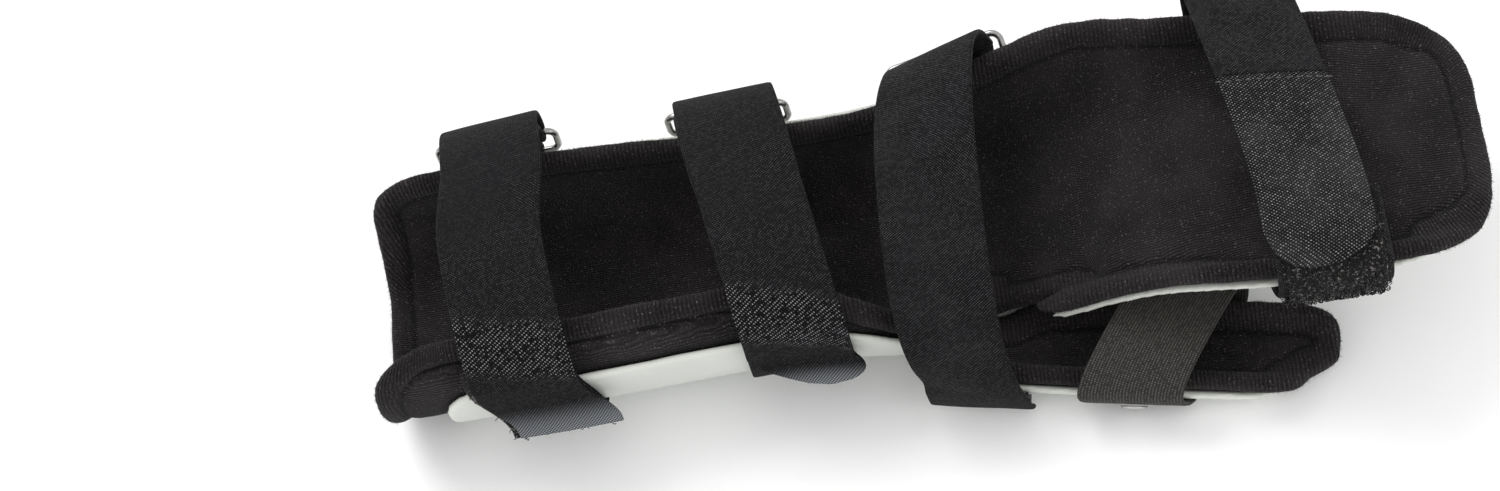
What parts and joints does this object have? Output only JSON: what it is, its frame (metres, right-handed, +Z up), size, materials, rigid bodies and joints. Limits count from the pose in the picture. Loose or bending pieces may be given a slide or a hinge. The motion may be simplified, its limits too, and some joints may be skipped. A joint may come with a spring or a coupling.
{
  "type": "thumb and wrist splint",
  "caption": "Resting splint for forearm, wrist, fingers and thumb: stiff shell with a padded knit liner that overhangs its rim, closed by straps that run through wire rings.",
  "frame": {"origin": "on the surface that the splint rests on, under the middle of its box", "axes": "+X from the elbow end to the fingertips, +Z up out of the open side, +Y to the little-finger side, -Y to the thumb side"},
  "size_m": [0.3786, 0.1388, 0.0815],
  "materials": {
    "shell": "pale grey-white thermoplastic, slightly glossy",
    "liner": "black plush knit with fine ribs",
    "strap": "black brushed loop webbing",
    "hook": "black hook tape",
    "wire": "dark polished steel wire",
    "rivet": "plain nickelled rivet head"
  },
  "bodies": {
    "root": {"shell": "shell", "liner": "liner", "thumb_liner": "liner", "ring_proximal": "wire", "ring_distal": "wire", "ring_wrist": "wire", "ring_tab_proximal": "strap", "ring_tab_distal": "strap", "ring_tab_wrist": "strap", "forearm_strap_proximal": "strap", "forearm_strap_distal": "strap", "wrist_strap": "strap", "finger_strap": "strap", "finger_strap_grip": "strap", "finger_base_strap": "strap", "thumb_strap": "strap", "finger_hook_patch": "hook", "wrist_hook_patch": "hook", "rivet_proximal_strap": "rivet", "rivet_distal_strap": "rivet", "rivet_proximal_tab": "rivet", "rivet_distal_tab": "rivet", "rivet_wrist_strap": "rivet", "rivet_finger_strap": "rivet", "rivet_finger_base": "rivet", "rivet_thumb_inner": "rivet", "rivet_thumb_outer": "rivet"}
  },
  "joints": []
}
